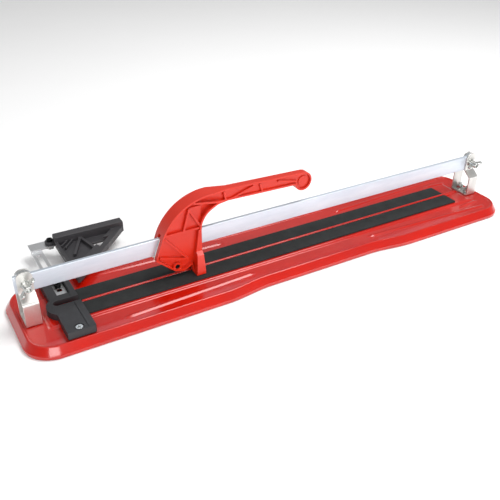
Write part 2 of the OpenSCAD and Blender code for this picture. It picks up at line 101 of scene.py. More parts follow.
def activate(*pieces: bpy.types.Object) -> None:
    """Selects only the given objects.

    Args:
        pieces: The objects. The first one becomes the active object.
    """
    deselect()
    for piece in pieces:
        piece.select_set(True)
    bpy.context.view_layer.objects.active = pieces[0]


@contextmanager
def editing(piece: bpy.types.Object) -> Iterator[None]:
    """Holds a piece in edit mode.

    Args:
        piece: The mesh object to edit.

    Returns:
        A context that leaves edit mode when it ends.
    """
    activate(piece)
    bpy.ops.object.mode_set(mode="EDIT")
    yield
    bpy.ops.object.mode_set(mode="OBJECT")


def choose(piece: bpy.types.Object, pick: Pick, test: Callable[[Any], bool]) -> None:
    """Selects by rule, in edit mode.

    Args:
        piece: The object in edit mode.
        pick: Whether edges or faces are tested.
        test: Says whether one of them is wanted.
    """
    bpy.ops.mesh.select_mode(type=pick.value)
    bpy.ops.mesh.select_all(action="DESELECT")
    mesh = bmesh.from_edit_mesh(piece.data)
    for item in {Pick.EDGES: mesh.edges, Pick.FACES: mesh.faces}[pick]:
        if test(item):
            item.select_set(True)
    mesh.select_flush_mode()
    bmesh.update_edit_mesh(piece.data)


def modify(piece: bpy.types.Object, kind: str, **settings: Any) -> None:
    """Adds one modifier and applies it.

    Args:
        piece: The object to change.
        kind: Blender's name of the modifier type.
        settings: The modifier's settings.
    """
    activate(piece)
    modifier = piece.modifiers.new(kind.title(), kind)
    for key, value in settings.items():
        setattr(modifier, key, value)
    bpy.ops.object.modifier_apply(modifier=modifier.name)


def soften(piece: bpy.types.Object, width: float, segments: int = 2) -> None:
    """Rounds every sharp edge, as moulding, tumbling or plating leaves it.

    Args:
        piece: The object to round.
        width: Width of the rounding.
        segments: Number of steps across it.
    """
    modify(piece, "BEVEL", width=width, segments=segments, limit_method="ANGLE",
           angle_limit=math.radians(SHARP), use_clamp_overlap=True, miter_outer="MITER_ARC")


def weld(piece: bpy.types.Object) -> None:
    """Merges doubled points and turns every face outwards.

    Args:
        piece: The object to mend.
    """
    with editing(piece):
        bpy.ops.mesh.select_all(action="SELECT")
        bpy.ops.mesh.remove_doubles(threshold=WELD)
        bpy.ops.mesh.dissolve_degenerate(threshold=WELD)
        bpy.ops.mesh.select_all(action="SELECT")
        bpy.ops.mesh.normals_make_consistent(inside=False)


def join(name: str, pieces: Sequence[bpy.types.Object]) -> bpy.types.Object:
    """Joins pieces into one object.

    Args:
        name: The name of the result.
        pieces: The objects to join.

    Returns:
        The joined object.
    """
    activate(*pieces)
    bpy.ops.object.join()
    joined = bpy.context.view_layer.objects.active
    joined.name = name
    return joined


def copy_to(piece: bpy.types.Object, offset: Vector, turn: float = 0.0) -> bpy.types.Object:
    """Copies a piece with its own mesh.

    Args:
        piece: The piece to copy.
        offset: How far the copy is moved.
        turn: How far it is first turned about Z, in degrees.

    Returns:
        The copy.
    """
    activate(piece)
    bpy.ops.object.duplicate()
    copy = bpy.context.view_layer.objects.active
    copy.data.transform(Matrix.Translation(offset) @ Matrix.Rotation(math.radians(turn), 4, "Z"))
    return copy


def rounded(corners: Sequence[tuple[float, float, float]], closed: bool = False,
            steps: int = 5) -> list[Point2]:
    """Turns the corners of a path into arcs.

    Args:
        corners: Each corner's place and the radius of its arc, which is 0 for a sharp one.
        closed: Whether the path returns to its first corner.
        steps: Number of steps along each arc.

    Returns:
        The points of the path.
    """
    path: list[Point2] = []
    count = len(corners)
    for index, (a, b, radius) in enumerate(corners):
        here = Vector((a, b))
        if radius == 0 or (not closed and index in (0, count - 1)):
            path.append((a, b))
            continue
        back = (Vector(corners[index - 1][:2]) - here).normalized()
        ahead = (Vector(corners[(index + 1) % count][:2]) - here).normalized()
        half = back.angle(ahead) / 2
        centre = here + (back + ahead).normalized() * radius / math.sin(half)
        start = here + back * radius / math.tan(half) - centre
        sweep = (here + ahead * radius / math.tan(half) - centre).angle_signed(start)
        for step in range(steps + 1):
            path.append(tuple(centre + Matrix.Rotation(sweep * step / steps, 2) @ start))
    return path


def prism(name: str, outline: Sequence[Point2], depth: float) -> bpy.types.Object:
    """Fills a closed outline in the XY plane and extrudes it up.

    Args:
        name: The piece's name.
        outline: The outline's points.
        depth: How far it is extruded along +Z.

    Returns:
        The new object.
    """
    deselect()
    bpy.ops.mesh.primitive_circle_add(vertices=len(outline), fill_type="NOTHING")
    piece = bpy.context.object
    piece.name = name
    for vertex, (a, b) in zip(piece.data.vertices, outline):
        vertex.co = (a, b, 0)
    with editing(piece):
        bpy.ops.mesh.select_all(action="SELECT")
        bpy.ops.mesh.edge_face_add()
        bpy.ops.mesh.extrude_region_move(TRANSFORM_OT_translate={"value": (0, 0, depth)})
    weld(piece)
    return piece


def lathe(name: str, profile: Sequence[Point2]) -> bpy.types.Object:
    """Spins a closed profile round Z.

    Args:
        name: The piece's name.
        profile: Radius and height of each point of the profile.

    Returns:
        The new object.
    """
    deselect()
    bpy.ops.mesh.primitive_circle_add(vertices=len(profile), fill_type="NOTHING")
    piece = bpy.context.object
    piece.name = name
    for vertex, (radius, height) in zip(piece.data.vertices, profile):
        vertex.co = (radius, 0, height)
    with editing(piece):
        bpy.ops.mesh.select_all(action="SELECT")
        bpy.ops.mesh.spin(steps=TURNED, angle=math.tau, center=(0, 0, 0), axis=(0, 0, 1))
    weld(piece)
    return piece


def laid_grid(name: str, columns: int, rows: int, place: Callable[[int, int], Vector]) -> bpy.types.Object:
    """Lays a grid over a surface.

    Args:
        name: The piece's name.
        columns: Number of faces across.
        rows: Number of faces up.
        place: Gives the place of each grid point from its column and row.

    Returns:
        The new object.
    """
    deselect()
    bpy.ops.mesh.primitive_grid_add(x_subdivisions=columns, y_subdivisions=rows, size=2)
    piece = bpy.context.object
    piece.name = name
    for vertex in piece.data.vertices:
        column = round((vertex.co.x + 1) / 2 * columns)
        row = round((vertex.co.y + 1) / 2 * rows)
        vertex.co = place(column, row)
    return piece


def aim(piece: bpy.types.Object, way: Way, at: Sequence[float]) -> bpy.types.Object:
    """Turns a piece from +Z into a direction and moves it to its place, in its mesh.

    Args:
        piece: The piece, drawn at the origin along +Z.
        way: The direction to aim it in.
        at: Where its origin goes.

    Returns:
        The same piece.
    """
    piece.data.transform(Matrix.Translation(Vector(at)) @ way.turn())
    return piece


def cad_box(node: str) -> tuple[Vector, Vector]:
    """Measures a CAD node.

    Args:
        node: The CAD node.

    Returns:
        Its lowest and highest corners, in millimetres.
    """
    low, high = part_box(node)
    return low / MM, high / MM


def traced(node: str, name: str) -> bpy.types.Object:
    """Copies a CAD node's shape as a clean mesh in millimetres, ready to be finished.

    Args:
        node: The CAD node.
        name: The new piece's name.

    Returns:
        The new object.
    """
    activate(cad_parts[node])
    bpy.ops.object.duplicate()
    piece = bpy.context.view_layer.objects.active
    piece.parent = None
    piece.name = name
    for key in list(piece.keys()):
        del piece[key]
    piece.data.materials.clear()
    piece.data.transform(Matrix.Scale(1 / MM, 4))
    with editing(piece):
        bpy.ops.mesh.select_all(action="SELECT")
        bpy.ops.mesh.remove_doubles(threshold=WELD)
        bpy.ops.mesh.customdata_custom_splitnormals_clear()
        bpy.ops.mesh.dissolve_limited(angle_limit=math.radians(FLAT), use_dissolve_boundaries=False)
    return piece


def hand_over(piece: bpy.types.Object, body: str, slot: str, finish: bpy.types.Material, *nodes: str,
              smooth: float = 38.0) -> bpy.types.Object:
    """Brings a shaped piece to metres, gives it its finish and its body, and hides the CAD nodes it stands
    for.

    Args:
        piece: The shaped piece, in millimetres.
        body: The CAD body it moves with.
        slot: Name of a material slot. Not used.
        finish: Its material.
        nodes: The CAD nodes it stands for.
        smooth: Edges that turn by more than this many degrees stay crisp.

    Returns:
        The same piece.
    """
    piece.data.transform(Matrix.Scale(MM, 4))
    piece.data.materials.clear()
    piece.data.materials.append(finish)
    activate(piece)
    bpy.ops.object.shade_smooth_by_angle(angle=math.radians(smooth))
    # Flat faces keep flat shading right up to their rounded edges
    modify(piece, "WEIGHTED_NORMAL", keep_sharp=True, weight=100)
    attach(piece, body)
    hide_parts(*nodes)
    LOG.info("%s: %d faces on %s", piece.name, len(piece.data.polygons), body)
    return piece


# ------------------------------------------------------------------ finishes


def linear(code: str) -> tuple[float, float, float, float]:
    """Turns a colour from sRGB to linear.

    Args:
        code: The colour as #RRGGBB.

    Returns:
        Linear red, green, blue and alpha.
    """
    channels = [int(code[i:i + 2], 16) / 255 for i in (1, 3, 5)]
    return (*[c / 12.92 if c <= 0.04045 else ((c + 0.055) / 1.055) ** 2.4 for c in channels], 1.0)


def add_node(tree: bpy.types.NodeTree, kind: str, settings: Optional[Mapping[Any, Any]] = None,
             links: Optional[Mapping[Any, bpy.types.NodeSocket]] = None) -> bpy.types.Node:
    """Adds a shader node.

    Args:
        tree: The material's node tree.
        kind: Blender's name of the node type.
        settings: Values by socket name or number, or by property name.
        links: The output that each input is linked from.

    Returns:
        The new node.
    """
    node = tree.nodes.new(kind)
    for key, value in (settings or {}).items():
        if isinstance(key, int) or key in node.inputs:
            node.inputs[key].default_value = value
        else:
            setattr(node, key, value)
    for key, source in (links or {}).items():
        tree.links.new(source, node.inputs[key])
    return node


@dataclass(frozen=True)
class Finish:
    """A surface finish: two close colours in soft patches, an uneven gloss and a fine grain."""

    name: str
    colour: str
    shade: str
    roughness: tuple[float, float]
    # Size of the patches of colour and gloss, and of the grain, with the grain's depth
    patch_mm: float
    grain_mm: float
    grain_depth_mm: float
    # How many times longer the pattern is along each axis
    drawn: tuple[float, float, float] = (1.0, 1.0, 1.0)
    metallic: float = 0.0
    ior: float = 1.5
    coat: float = 0.0
    coat_roughness: float = 0.05

    def grain(self, tree: bpy.types.NodeTree, coords: bpy.types.NodeSocket) -> bpy.types.NodeSocket:
        """Draws the grain.

        Args:
            tree: The material's node tree.
            coords: The place on the piece.

        Returns:
            The grain's height, from 0 to 1.
        """
        noise = add_node(tree, "ShaderNodeTexNoise", {"Scale": 1 / (self.grain_mm * MM), "Detail": 3.0},
                         {"Vector": coords})
        return noise.outputs["Fac"]

    def build(self) -> bpy.types.Material:
        """Builds the finish.

        Returns:
            The material.
        """
        material = bpy.data.materials.new(self.name)
        material.use_nodes = True
        material.diffuse_color = linear(self.colour)
        tree = material.node_tree
        tree.nodes.clear()
        place = add_node(tree, "ShaderNodeTexCoord")
        stretch = add_node(tree, "ShaderNodeMapping", {"Scale": tuple(1 / s for s in self.drawn)},
                           {"Vector": place.outputs["Object"]})
        coords = stretch.outputs["Vector"]
        patches = add_node(tree, "ShaderNodeTexNoise",
                           {"Scale": 1 / (self.patch_mm * MM), "Detail": 4.0, "Roughness": 0.6},
                           {"Vector": coords})
        even = add_node(tree, "ShaderNodeMapRange", {"From Min": 0.32, "From Max": 0.68},
                        {"Value": patches.outputs["Fac"]})
        blend = add_node(tree, "ShaderNodeMix",
                         {"data_type": "RGBA", 6: linear(self.colour), 7: linear(self.shade)},
                         {0: even.outputs["Result"]})
        gloss = add_node(tree, "ShaderNodeMapRange",
                         {"From Min": 0.3, "From Max": 0.7,
                          "To Min": self.roughness[0], "To Max": self.roughness[1]},
                         {"Value": patches.outputs["Fac"]})
        bump = add_node(tree, "ShaderNodeBump", {"Strength": 1.0, "Distance": self.grain_depth_mm * MM},
                        {"Height": self.grain(tree, coords)})
        surface = add_node(tree, "ShaderNodeBsdfPrincipled",
                           {"Metallic": self.metallic, "IOR": self.ior, "Coat Weight": self.coat,
                            "Coat Roughness": self.coat_roughness},
                           {"Base Color": blend.outputs[2], "Roughness": gloss.outputs["Result"],
                            "Normal": bump.outputs["Normal"]})
        add_node(tree, "ShaderNodeOutputMaterial", links={"Surface": surface.outputs["BSDF"]})
        return material


@dataclass(frozen=True)
class Pressed(Finish):
    """A finish over pressed sheet, which is never quite flat and bends what it mirrors into streaks."""

    wave_mm: float = 26.0
    wave_depth_mm: float = 0.22
    wave_drawn: float = 7.0

    def grain(self, tree: bpy.types.NodeTree, coords: bpy.types.NodeSocket) -> bpy.types.NodeSocket:
        """Draws the sheet's waves with the grain over them.

        Args:
            tree: The material's node tree.
            coords: The place on the piece.

        Returns:
            Their height, in units of the grain's depth.
        """
        along = add_node(tree, "ShaderNodeMapping", {"Scale": (1 / self.wave_drawn, 1.0, 1.0)},
                         {"Vector": coords})
        wave = add_node(tree, "ShaderNodeTexNoise", {"Scale": 1 / (self.wave_mm * MM), "Detail": 1.0},
                        {"Vector": along.outputs["Vector"]})
        both = add_node(tree, "ShaderNodeMath",
                        {"operation": "MULTIPLY_ADD", 1: self.wave_depth_mm / self.grain_depth_mm},
                        {0: wave.outputs["Fac"]})
        tree.links.new(super().grain(tree, coords), both.inputs[2])
        return both.outputs["Value"]


@dataclass(frozen=True)
class Ribbed(Finish):
    """A finish whose grain is a row of fine parallel ribs under the ordinary grain."""

    rib_mm: float = 2.2
    # The grain's height as a share of the ribs'
    grain_share: float = 0.8

    def grain(self, tree: bpy.types.NodeTree, coords: bpy.types.NodeSocket) -> bpy.types.NodeSocket:
        """Draws the ribs with the grain over them.

        Args:
            tree: The material's node tree.
            coords: The place on the piece.

        Returns:
            Their height.
        """
        # At a scale of 1 a wave texture repeats every tau / 20 metres
        ribs = add_node(tree, "ShaderNodeTexWave",
                        {"bands_direction": "Y", "wave_profile": "SIN",
                         "Scale": 1 / (self.rib_mm * MM) * math.tau / 20},
                        {"Vector": coords})
        noise = super().grain(tree, coords)
        both = add_node(tree, "ShaderNodeMath", {"operation": "MULTIPLY_ADD", 1: self.grain_share},
                        {0: noise})
        tree.links.new(ribs.outputs["Fac"], both.inputs[2])
        return both.outputs["Value"]


@dataclass(frozen=True)
class Spangled(Finish):
    """A hot-dip zinc finish, whose crystals show as cells of slightly different height."""

    spangle_mm: float = 7.0
    # The crystals' height as a share of the grain's
    spangle_share: float = 0.35

    def grain(self, tree: bpy.types.NodeTree, coords: bpy.types.NodeSocket) -> bpy.types.NodeSocket:
        """Draws the crystals with the grain over them.

        Args:
            tree: The material's node tree.
            coords: The place on the piece.

        Returns:
            Their height.
        """
        cells = add_node(tree, "ShaderNodeTexVoronoi", {"Scale": 1 / (self.spangle_mm * MM)},
                         {"Vector": coords})
        noise = super().grain(tree, coords)
        both = add_node(tree, "ShaderNodeMath", {"operation": "MULTIPLY_ADD", 1: self.spangle_share},
                        {0: cells.outputs["Distance"]})
        tree.links.new(noise, both.inputs[2])
        return both.outputs["Value"]


class Palette:
    """Every finish on the tool, built once."""

    def __init__(self) -> None:
        """Builds the materials."""
        # Polyester powder coat over pressed steel: wet gloss with a faint orange peel of 2.6 mm
        self.enamel = Pressed("red_powder_coat", "#BA1606", "#AC1004", (0.14, 0.21),
                              patch_mm=60, grain_mm=2.6, grain_depth_mm=0.010, coat=0.35).build()
        # Glass-filled nylon from a satin tool: bright red, soft gloss, eroded grain under 1 mm
        self.nylon_red = Finish("moulded_red_nylon", "#CC270B", "#C32108", (0.27, 0.38),
                                patch_mm=40, grain_mm=0.9, grain_depth_mm=0.012, ior=1.53).build()
        # EVA foam rubber strip: dead matt, with lengthwise ribs every 2.2 mm
        self.pad_rubber = Ribbed("ribbed_pad_rubber", "#1E2020", "#191B1B", (0.82, 0.94),
                                 patch_mm=18, grain_mm=0.7, grain_depth_mm=0.05).build()
        # Moulded black rubber feet: matt, with a 0.6 mm grain
        self.foot_rubber = Finish("moulded_black_rubber", "#1B1B1C", "#222223", (0.7, 0.85),
                                  patch_mm=10, grain_mm=0.6, grain_depth_mm=0.03).build()
        # Bright zinc plate on rolled strip: 1.2 mm rolling lines that run up the strap
        self.zinc_strip = Finish("bright_zinc_strip", "#E2E0DC", "#D2D1CE", (0.30, 0.46),
                                 patch_mm=12, grain_mm=1.2, grain_depth_mm=0.010,
                                 drawn=(1.0, 1.0, 5.0), metallic=1.0).build()
        # The same plate on the flat arm, with 1 mm rolling lines along it
        self.zinc_arm = Finish("bright_zinc_arm", "#E4E5E6", "#D6D7D9", (0.34, 0.48),
                               patch_mm=10, grain_mm=1.0, grain_depth_mm=0.010,
                               drawn=(1.0, 6.0, 1.0), metallic=1.0).build()
        # Hot-dip galvanised bar, drawn lengthwise: cool grey with 7 mm spangles
        self.galvanised = Spangled("galvanised_rail", "#DDE4EC", "#CDD5DF", (0.44, 0.56),
                                   patch_mm=14, grain_mm=1.5, grain_depth_mm=0.010,
                                   drawn=(6.0, 1.0, 1.0), metallic=1.0).build()
        # Bright zinc fasteners, slightly yellowed by their passivation, with a 0.6 mm grain
        self.zinc_bright = Finish("zinc_fastener", "#D2D3CF", "#BDBFBE", (0.18, 0.32),
                                  patch_mm=4, grain_mm=0.6, grain_depth_mm=0.006, metallic=1.0).build()
        # ABS from a textured tool: dark grey and even, with a 0.7 mm texture
        self.abs_grey = Finish("textured_grey_abs", "#252528", "#202023", (0.48, 0.62),
                               patch_mm=24, grain_mm=0.7, grain_depth_mm=0.022, ior=1.54).build()
        # The same ABS in charcoal, a little glossier
        self.abs_charcoal = Finish("textured_charcoal_abs", "#39373A", "#302F32", (0.42, 0.56),
                                   patch_mm=24, grain_mm=0.7, grain_depth_mm=0.022, ior=1.54).build()
        # Natural nylon: milky and a little soft in its gloss, with a 0.8 mm grain
        self.nylon_white = Finish("natural_nylon", "#EDECE6", "#E4E2DA", (0.38, 0.5),
                                  patch_mm=12, grain_mm=0.8, grain_depth_mm=0.01, ior=1.53).build()
        # Black oxide on steel: oily dark gloss, with a 0.5 mm grain
        self.black_oxide = Finish("black_oxide_steel", "#2B2B2D", "#222224", (0.34, 0.5),
                                  patch_mm=3, grain_mm=0.5, grain_depth_mm=0.006, metallic=1.0).build()
        # Ground bearing steel: even and bright, with 0.4 mm grinding marks
        self.ground = Finish("ground_bearing_steel", "#A9ABAE", "#9C9EA1", (0.16, 0.26),
                             patch_mm=3, grain_mm=0.4, grain_depth_mm=0.004, metallic=1.0).build()
        # Ground tungsten carbide: darker than the steel, with 0.4 mm grinding marks
        self.carbide = Finish("ground_carbide", "#8B8C8F", "#7C7D80", (0.2, 0.3),
                              patch_mm=2, grain_mm=0.4, grain_depth_mm=0.004, metallic=1.0).build()


# ------------------------------------------------------------------ tray and pads


def ease(share: float) -> float:
    """Eases a step.

    Args:
        share: How far along the step it is.

    Returns:
        0 below 0, 1 above 1 and a smooth S between.
    """
    clipped = min(max(share, 0.0), 1.0)
    return (1 - math.cos(math.pi * clipped)) / 2


@dataclass
class PressedTray:
    """The sheet steel tray: one skin with its rim, waist, raised bed, ridge and beads pressed in."""

    corner: float = 37.0
    rim: float = 12.0
    floor: float = 13.0
    sheet: float = 1.4
    waist: float = 7.2
    waist_from: tuple[float, float] = (-128.0, -58.0)
    waist_to: tuple[float, float] = (108.0, 184.0)
    bed_half: tuple[float, float] = (346.0, 34.0)
    bed_rise: float = 2.4
    bed_slope: float = 3.5
    ridge: tuple[float, float] = (-296.0, 342.0)
    ridge_half: float = 2.2
    ridge_rise: float = 3.2
    bead_half: float = 4.0
    bead_rise: float = 1.6
    # Where the beads of the back half run, on the floor
    straight: tuple[tuple[Point2, Point2], ...] = (((-254, 53), (-78, 44.5)), ((128, 43.5), (345, 54)),
                                                   ((314, 40), (347, 37)))
    column_step: float = 3.5
    corner_steps: int = 20

    def __post_init__(self) -> None:
        """Takes the tray's outer size from the frame."""
        low, high = cad_box("base_tray")
        self.half_x = high.x
        self.half_y = high.y
        self.hem = low.z
        self.flat_x = self.half_x - self.corner
        self.flat_y = self.half_y - self.corner
        self.beads = [((a[0], side * a[1]), (b[0], side * b[1]))
                      for a, b in self.straight for side in (-1, 1)]
        self.columns = self.column_places()
        self.rows = self.row_places()

    def drawn_in(self, x: float) -> float:
        """Measures the waist.

        Args:
            x: The place along the tray.

        Returns:
            How far the long side is drawn in there.
        """
        start = ease((x - self.waist_from[0]) / (self.waist_from[1] - self.waist_from[0]))
        stop = ease((x - self.waist_to[0]) / (self.waist_to[1] - self.waist_to[0]))
        return self.waist * (start - stop)

    def half_width(self, x: float) -> float:
        """Measures the floor.

        Args:
            x: The place along the tray.

        Returns:
            Half the width of the floor there, inside the rim.
        """
        if abs(x) <= self.flat_x:
            return self.half_y - self.rim - self.drawn_in(x)
        radius = self.corner - self.rim
        return self.flat_y + math.sqrt(max(0.0, radius ** 2 - (abs(x) - self.flat_x) ** 2))

    def column_places(self) -> list[float]:
        """Spaces the grid's columns, closer together round the corners.

        Returns:
            The x of each column.
        """
        count = round(2 * self.flat_x / self.column_step)
        middle = [-self.flat_x + 2 * self.flat_x * i / count for i in range(count + 1)]
        turn = [(self.corner - self.rim) * math.sin(math.pi / 2 * i / self.corner_steps)
                for i in range(1, self.corner_steps + 1)]
        return [-self.flat_x - t for t in reversed(turn)] + middle + [self.flat_x + t for t in turn]

    def row_places(self) -> list[float]:
        """Spaces the grid's rows, closer together over the ridge, the bed's slope and the beads.

        Returns:
            The share of the half width at which each row lies.
        """
        full = self.half_y - self.rim
        ridge = [0.36 * i for i in range(8)]
        flat = [6.0, 12.0, 19.0, 25.0]
        beads = [28.0 + 0.88 * i for i in range(34)]
        edge = [59.3, 60.7, full]
        half = ridge + flat + beads + edge
        return [-y / full for y in reversed(half[1:])] + [y / full for y in half]

    def height(self, x: float, y: float) -> float:
        """Measures the upper face.

        Args:
            x: The place along the tray.
            y: The place across it.

        Returns:
            The height there.
        """
        inward = min(self.bed_half[0] - abs(x), self.bed_half[1] - abs(y))
        level = self.floor + self.bed_rise * ease(inward / self.bed_slope)
        if self.ridge[0] < x < self.ridge[1] and abs(y) < self.ridge_half:
            level += self.ridge_rise * math.sqrt(1 - (abs(y) / self.ridge_half) ** 3)
        here = Vector((x, y))
        for start, stop in self.beads:
            a, along = Vector(start), Vector(stop) - Vector(start)
            share = min(max((here - a).dot(along) / along.length_squared, 0.0), 1.0)
            away = (here - a - along * share).length
            level = max(level, self.floor + self.bead_rise * ease(1 - away / self.bead_half))
        return level

    def outward(self, x: float, y: float) -> Vector:
        """Finds the way out of the tray.

        Args:
            x: The place along an outline of the tray.
            y: The place across it.

        Returns:
            The direction out from there.
        """
        if abs(x) > self.flat_x and abs(y) > self.flat_y:
            turn_at = Vector((math.copysign(self.flat_x, x), math.copysign(self.flat_y, y)))
            return (Vector((x, y)) - turn_at).normalized()
        if abs(x) > self.flat_x:
            return Vector((math.copysign(1, x), 0))
        return Vector((0, math.copysign(1, y)))

    def rim_path(self) -> list[Point2]:
        """Draws the rim's section: up over the roll, down its slope and into the hem.

        Returns:
            How far in from the tray's outline each point is, and its height.
        """
        return rounded([(self.rim, self.floor, 0), (10.3, self.floor, 1.5), (7.43, 16.11, 2.1),
                        (1.0, 6.23, 1.6), (0, 5.0, 1.0), (0.3, self.hem, 0)])

    def build(self, palette: Palette) -> None:
        """Presses the tray.

        Args:
            palette: The finishes.
        """
        def place(column: int, row: int) -> Vector:
            x = self.columns[column]
            y = self.rows[row] * self.half_width(x)
            return Vector((x, y, self.height(x, y)))

        tray = laid_grid("pressed_tray", len(self.columns) - 1, len(self.rows) - 1, place)
        with editing(tray):
            choose(tray, Pick.EDGES, lambda edge: edge.is_boundary)
            path = self.rim_path()
            for (inset, _), (next_inset, level) in zip(path, path[1:]):
                bpy.ops.mesh.extrude_region_move(TRANSFORM_OT_translate={"value": (0, 0, 0)})
                mesh = bmesh.from_edit_mesh(tray.data)
                for vertex in mesh.verts:
                    if vertex.select:
                        step = self.outward(vertex.co.x, vertex.co.y) * (inset - next_inset)
                        vertex.co = (vertex.co.x + step.x, vertex.co.y + step.y, level)
                bmesh.update_edit_mesh(tray.data)
        modify(tray, "SOLIDIFY", thickness=self.sheet, offset=-1.0)
        hand_over(tray, "base", "red_enamel", palette.enamel, "base_tray", smooth=50)


@dataclass
class RubberPads:
    """The two strips that the tile lies on, with moulded edges."""

    corner: float = 1.2
    lip: float = 0.5
    edge: float = 0.3

    def build(self, palette: Palette) -> None:
        """Lays both strips.

        Args:
            palette: The finishes.
        """
        for node in ("front_pad", "rear_pad"):
            low, high = cad_box(node)
            r = self.corner
            outline = rounded([(low.x, low.y, r), (high.x, low.y, r), (high.x, high.y, r),
                               (low.x, high.y, r)], closed=True)
            pad = aim(prism(node + "_strip", outline, high.z - low.z), Way.UP, (0, 0, low.z))
            with editing(pad):
                choose(pad, Pick.FACES, lambda face: face.normal.z > 0.9)
                bpy.ops.mesh.inset(thickness=self.lip, depth=0)
                bpy.ops.mesh.inset(thickness=self.lip / 2, depth=-self.lip / 4)
            soften(pad, self.edge)
            hand_over(pad, "base", "pad_rubber", palette.pad_rubber, node)


# ------------------------------------------------------------------ fasteners


@dataclass
class Fasteners:
    """Threads, nuts, heads and washers, drawn along +Z and then aimed."""

    pitch: float = 1.0
    thread_depth: float = 0.32
    thread_steps: int = 24
    rows_per_turn: int = 6
    # How far the thread runs in at its ends, as a share of its depth
    run_in: float = 1.3
    # Width across the flats, the round left at both faces as a share of it, and the slope down to it
    flats: float = 10.0
    face_share: float = 0.96
    corner_slope: float = 1.7
    hexagon_steps: int = 72
    shank: float = 3.0
    nut_bore: float = 2.95
    ring_bore: float = 3.2
    ring_radius: float = 6.0
    cross_head: float = 4.0
    # How far the base bolts stand from the middle, the length that their heads take, and the chance turn
    # from each one to the next in degrees
    base_y: float = 8.0
    base_head: float = 2.0
    base_turn: float = 37.0
    # How the wings of each wing nut were left, in degrees
    wing_turns: tuple[tuple[str, float], ...] = (("near_wing_nut", 52.0), ("far_wing_nut", 8.0))
    wing_sheet: float = 2.5
    wing_edge: float = 0.9
    wing_height: float = 11.6

    def thread(self, name: str, radius: float, length: float) -> bpy.types.Object:
        """Cuts a thread.

        Args:
            name: The piece's name.
            radius: Outer radius of the thread.
            length: Its length up from the origin.

        Returns:
            A closed threaded rod.
        """
        rows = round(length / self.pitch * self.rows_per_turn)

        def place(column: int, row: int) -> Vector:
            turn = column / self.thread_steps
            level = length * row / rows
            saw = abs(((level / self.pitch - turn) % 1.0) * 2 - 1)
            taper = min(1.0, (length - level) / self.pitch, level / self.pitch)
            out = radius - self.thread_depth * (saw * taper + (1 - taper) * self.run_in)
            return Vector((out * math.cos(math.tau * turn), out * math.sin(math.tau * turn), level))

        rod = laid_grid(name, self.thread_steps, rows, place)
        weld(rod)
        with editing(rod):
            choose(rod, Pick.EDGES, lambda edge: edge.is_boundary)
            bpy.ops.mesh.edge_face_add()
        weld(rod)
        return rod

    def hexagon(self, name: str, height: float, bore: float = 0.0) -> bpy.types.Object:
        """Forges a hexagon nut or head with its corners turned down at both faces.

        Args:
            name: The piece's name.
            height: Its height up from the origin.
            bore: Radius of its bore, or 0 for a solid head.

        Returns:
            The new object.
        """
        turned = self.flats / 2 * self.face_share
        drops = (0.0, 0.12, 0.25, 0.4, 0.6, 0.9)
        levels = [*drops, *[height - drop for drop in reversed(drops)]]
        path = [(bore, 0.0, False), *[(turned, level, True) for level in levels], (bore, height, False)]

        def place(column: int, row: int) -> Vector:
            angle = math.tau * column / self.hexagon_steps
            out, level, outer = path[row]
            if outer:
                corner = self.flats / 2 / math.cos((angle % (math.tau / 6)) - math.tau / 12)
                out = min(corner, turned + min(level, height - level) * self.corner_slope)
            return Vector((out * math.cos(angle), out * math.sin(angle), level))

        piece = laid_grid(name, self.hexagon_steps, len(path) - 1, place)
        if bore:
            with editing(piece):
                choose(piece, Pick.EDGES, lambda edge: edge.is_boundary
                       and all(vertex.co.xy.length < bore * 1.1 for vertex in edge.verts))
                bpy.ops.mesh.bridge_edge_loops()
        weld(piece)
        return piece

    def washer(self, name: str, height: float) -> bpy.types.Object:
        """Stamps a flat washer with one rolled edge.

        Args:
            name: The piece's name.
            height: Its thickness.

        Returns:
            The new object.
        """
        return lathe(name, rounded([(self.ring_bore, 0, 0.15), (self.ring_radius, 0, 0.15),
                                    (self.ring_radius, height, 0.4), (self.ring_bore, height, 0.3)],
                                   closed=True, steps=3))

    def build(self, palette: Palette) -> None:
        """Fits every bolt, nut and washer of the two brackets.

        Args:
            palette: The finishes.
        """
        self.base_bolts(palette)
        self.rail_bolts(palette)
        for node, turn in self.wing_turns:
            self.wing_nut(node, turn, palette)

    def base_bolts(self, palette: Palette) -> None:
        """Fits the bolts that stand up through the tray into each bracket.

        Args:
            palette: The finishes.
        """
        low, high = cad_box("base_bolts")
        nut_low, nut_high = cad_box("base_nuts")
        ring_low, ring_high = cad_box("base_washers")
        bracket_low, bracket_high = cad_box("far_bracket")
        x = (bracket_low.x + bracket_high.x) / 2
        places = [Vector((sx * x, sy * self.base_y, 0)) for sx in (-1, 1) for sy in (-1, 1)]
        domed = rounded([(0, 0, 0), (4.6, 0, 1.0), (6.5, 1.5, 0.4), (6.5, 2.8, 0), (0, 2.8, 0)])
        bolt = join("base_bolt", [self.thread("shank", self.shank, high.z - low.z - self.base_head),
                                  lathe("head", domed)])
        nut = self.hexagon("nut", nut_high.z - nut_low.z, self.nut_bore)
        ring = self.washer("washer", ring_high.z - ring_low.z)
        for pattern, name, node, level in ((bolt, "stud_bolts", "base_bolts", low.z),
                                           (nut, "stud_nuts", "base_nuts", nut_low.z),
                                           (ring, "stud_washers", "base_washers", ring_low.z)):
            aim(pattern, Way.UP, (0, 0, level))
            turned = [copy_to(pattern, place, self.base_turn * index) for index, place in enumerate(places)]
            bpy.data.objects.remove(pattern)
            hand_over(join(name, turned), "base", "zinc_fasteners", palette.zinc_bright, node)

